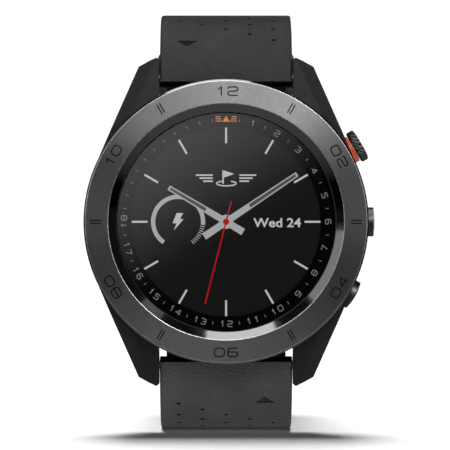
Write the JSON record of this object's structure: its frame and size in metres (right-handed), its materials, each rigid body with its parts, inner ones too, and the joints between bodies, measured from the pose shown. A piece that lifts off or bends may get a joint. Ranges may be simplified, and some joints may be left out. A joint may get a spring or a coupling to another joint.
{
  "type": "golf gps watch",
  "caption": "Round golf GPS watch: case with lugs, engraved bezel, glass over a digital dial, push buttons on the side and a buckled quick-release leather strap.",
  "frame": {"origin": "centre of the case back's outer face, on the dial's axis", "axes": "+Z towards 12 o'clock, +X towards 3 o'clock, +Y out of the case back towards the wrist, so the dial faces -Y"},
  "size_m": [0.0484, 0.0667, 0.0706],
  "materials": {
    "case_polymer": "fine matte, fibre-filled",
    "cover_polymer": "fine matte",
    "bezel_steel": "dark grey, circular brushed, polished inner slope",
    "lens_glass": "clear, polished",
    "ring_print": "black print",
    "display": "dark reflective display",
    "seal_rubber": "smooth",
    "inner_plastic": "matte",
    "diffuser": "white diffuser",
    "board": "solder mask",
    "tin": "tinned",
    "cell": "foil pouch",
    "copper": "copper",
    "gold": "gold plated",
    "screw_steel": "black oxide",
    "bright_steel": "plain",
    "knob_metal": "dark knurled",
    "ring_orange": "satin orange",
    "button_metal": "dark polished",
    "latch_metal": "grey, satin",
    "clip_polymer": "black",
    "strap_leather": "black, fine grain, perforated",
    "strap_lining": "soft nubuck",
    "buckle_metal": "dark grey, satin"
  },
  "bodies": {
    "case": {"mid_case": "case_polymer", "rear_cover": "cover_polymer", "rear_gasket": "seal_rubber", "rear_screws": "screw_steel", "charge_socket": "inner_plastic", "charge_contacts": "gold", "bezel": "bezel_steel", "bezel_gasket": "seal_rubber", "lens": "lens_glass", "lens_adhesive": "seal_rubber", "dial_ring": "ring_print", "touch_panel": "display", "display_panel": "display", "backlight": "diffuser", "display_carrier": "inner_plastic", "main_board": "board", "shield_can": "tin", "battery": "cell", "vibration_motor": "bright_steel", "beeper": "inner_plastic", "gps_antenna": "copper", "side_switches": "bright_steel", "upper_bar": "bright_steel", "lower_bar": "bright_steel", "crown_spring": "bright_steel", "middle_spring": "bright_steel", "lower_spring": "bright_steel"},
    "crown_button": {"crown_knob": "knob_metal", "crown_ring": "ring_orange", "crown_stem": "bright_steel", "crown_seal": "seal_rubber", "crown_clip": "bright_steel"},
    "middle_button": {"middle_button": "button_metal", "middle_seal": "seal_rubber", "middle_clip": "bright_steel"},
    "lower_button": {"lower_button": "button_metal", "lower_seal": "seal_rubber", "lower_clip": "bright_steel"},
    "upper_strap": {"upper_strap": "strap_leather", "upper_lining": "strap_lining", "upper_quick_clip": "clip_polymer", "buckle_bar": "bright_steel", "fixed_keeper": "strap_leather"},
    "lower_strap": {"lower_strap": "strap_leather", "lower_lining": "strap_lining", "lower_quick_clip": "clip_polymer", "strap_tail": "strap_leather", "tail_lining": "strap_lining"},
    "upper_latch": {"upper_latch": "latch_metal"},
    "lower_latch": {"lower_latch": "latch_metal"},
    "buckle": {"buckle_frame": "buckle_metal"},
    "tongue": {"buckle_tongue": "buckle_metal"},
    "keeper": {"free_keeper": "strap_leather"}
  },
  "joints": [
    {"name": "crown_button_press", "type": "slide", "parent": "case", "child": "crown_button", "axis": [-0.866, 0, -0.5], "range_m": [0, 0.0004], "stiffness_N_per_m": 3000, "deforming": ["crown_spring"]},
    {"name": "middle_button_press", "type": "slide", "parent": "case", "child": "middle_button", "axis": [-1, 0, 0], "range_m": [0, 0.0004], "stiffness_N_per_m": 3000, "deforming": ["middle_spring"]},
    {"name": "lower_button_press", "type": "slide", "parent": "case", "child": "lower_button", "axis": [-0.866, 0, 0.5], "range_m": [0, 0.0004], "stiffness_N_per_m": 3000, "deforming": ["lower_spring"]},
    {"name": "upper_strap_hinge", "type": "hinge", "parent": "case", "child": "upper_strap", "pos_m": [0, -0.0026, 0.024], "axis": [1, 0, 0], "range_deg": [0, 85], "deforming": ["strap_tail", "tail_lining"]},
    {"name": "lower_strap_hinge", "type": "hinge", "parent": "case", "child": "lower_strap", "pos_m": [0, -0.0026, -0.024], "axis": [-1, 0, 0], "range_deg": [0, 85], "deforming": ["strap_tail", "tail_lining"]},
    {"name": "upper_latch_slide", "type": "slide", "parent": "upper_strap", "child": "upper_latch", "axis": [0, 0, 1], "range_m": [0, 0.0034], "stiffness_N_per_m": 200},
    {"name": "lower_latch_slide", "type": "slide", "parent": "lower_strap", "child": "lower_latch", "axis": [0, 0, -1], "range_m": [0, 0.0034], "stiffness_N_per_m": 200},
    {"name": "buckle_hinge", "type": "hinge", "parent": "upper_strap", "child": "buckle", "pos_m": [0, 0.04931, 0.00443], "axis": [1, 0, 0], "range_deg": [0, 50], "deforming": ["strap_tail", "tail_lining"]},
    {"name": "tongue_hinge", "type": "hinge", "parent": "buckle", "child": "tongue", "pos_m": [0, 0.04931, 0.00443], "axis": [1, 0, 0], "range_deg": [0, 55], "deforming": ["strap_tail", "tail_lining"]},
    {"name": "keeper_slide", "type": "slide", "parent": "upper_strap", "child": "keeper", "axis": [0, -0.809, 0.5878], "range_m": [-0.003, 0.003], "deforming": ["strap_tail", "tail_lining"]}
  ]
}
